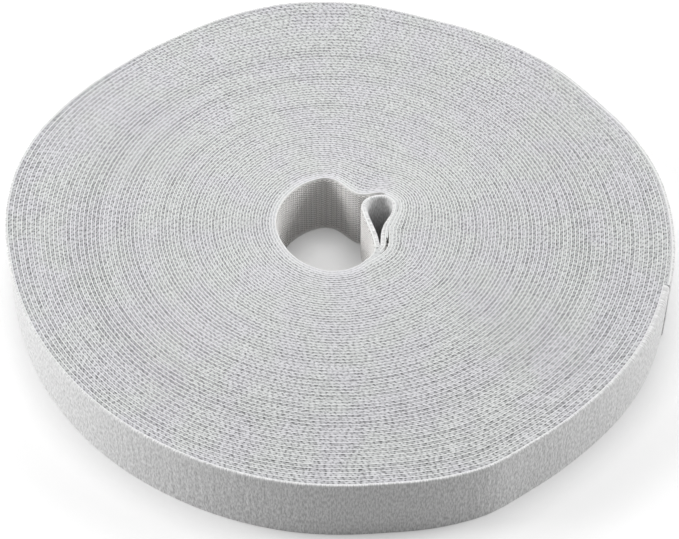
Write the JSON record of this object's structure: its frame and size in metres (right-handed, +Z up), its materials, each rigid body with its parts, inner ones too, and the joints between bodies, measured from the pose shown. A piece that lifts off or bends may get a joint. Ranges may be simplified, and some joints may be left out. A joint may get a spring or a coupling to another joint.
{
  "type": "hook and loop tape roll",
  "caption": "Flat coreless roll of back-to-back hook and loop tape, with its inner end folded into the bore and a loose outer end that peels away.",
  "frame": {"origin": "on the roll's axis, at the middle of its bounding box, on the surface it lies on", "axes": "+Z up along the roll's axis, +X to the side where the loose end lies, +Y away from the picture's camera"},
  "size_m": [0.1727, 0.1727, 0.019],
  "materials": {
    "hook_strip": "matte woven nylon with rows of small hooks",
    "loop_strip": "matte brushed nylon loop pile"
  },
  "bodies": {
    "roll": {"hook_ply_winding": "hook_strip", "loop_ply_winding": "loop_strip"},
    "inner_fold": {"hook_ply_inner_fold": "hook_strip", "loop_ply_inner_fold": "loop_strip"},
    "tail_1": {"hook_ply_tail_1": "hook_strip", "loop_ply_tail_1": "loop_strip"},
    "tail_2": {"hook_ply_tail_2": "hook_strip", "loop_ply_tail_2": "loop_strip"},
    "tail_3": {"hook_ply_tail_3": "hook_strip", "loop_ply_tail_3": "loop_strip"},
    "tail_4": {"hook_ply_tail_4": "hook_strip", "loop_ply_tail_4": "loop_strip"}
  },
  "joints": [
    {"name": "fold_swing", "type": "hinge", "parent": "roll", "child": "inner_fold", "pos_m": [0.00914, -0.00894, 0.0095], "axis": [0, 0, 1], "range_deg": [0, 40]},
    {"name": "tail_peel_1", "type": "hinge", "parent": "roll", "child": "tail_1", "pos_m": [0.05961, 0.05961, 0.0095], "axis": [0, 0, 1], "range_deg": [0, 30]},
    {"name": "tail_peel_2", "type": "hinge", "parent": "tail_1", "child": "tail_2", "pos_m": [0.07301, 0.04215, 0.0095], "axis": [0, 0, 1], "range_deg": [0, 30]},
    {"name": "tail_peel_3", "type": "hinge", "parent": "tail_2", "child": "tail_3", "pos_m": [0.08204, 0.02198, 0.0095], "axis": [0, 0, 1], "range_deg": [0, 30]},
    {"name": "tail_peel_4", "type": "hinge", "parent": "tail_3", "child": "tail_4", "pos_m": [0.08555, 0, 0.0095], "axis": [0, 0, 1], "range_deg": [0, 30]}
  ],
  "couplings": [
    {"joint": "tail_peel_2", "follows": "tail_peel_1", "ratio": 1},
    {"joint": "tail_peel_3", "follows": "tail_peel_1", "ratio": 1},
    {"joint": "tail_peel_4", "follows": "tail_peel_1", "ratio": 1}
  ]
}
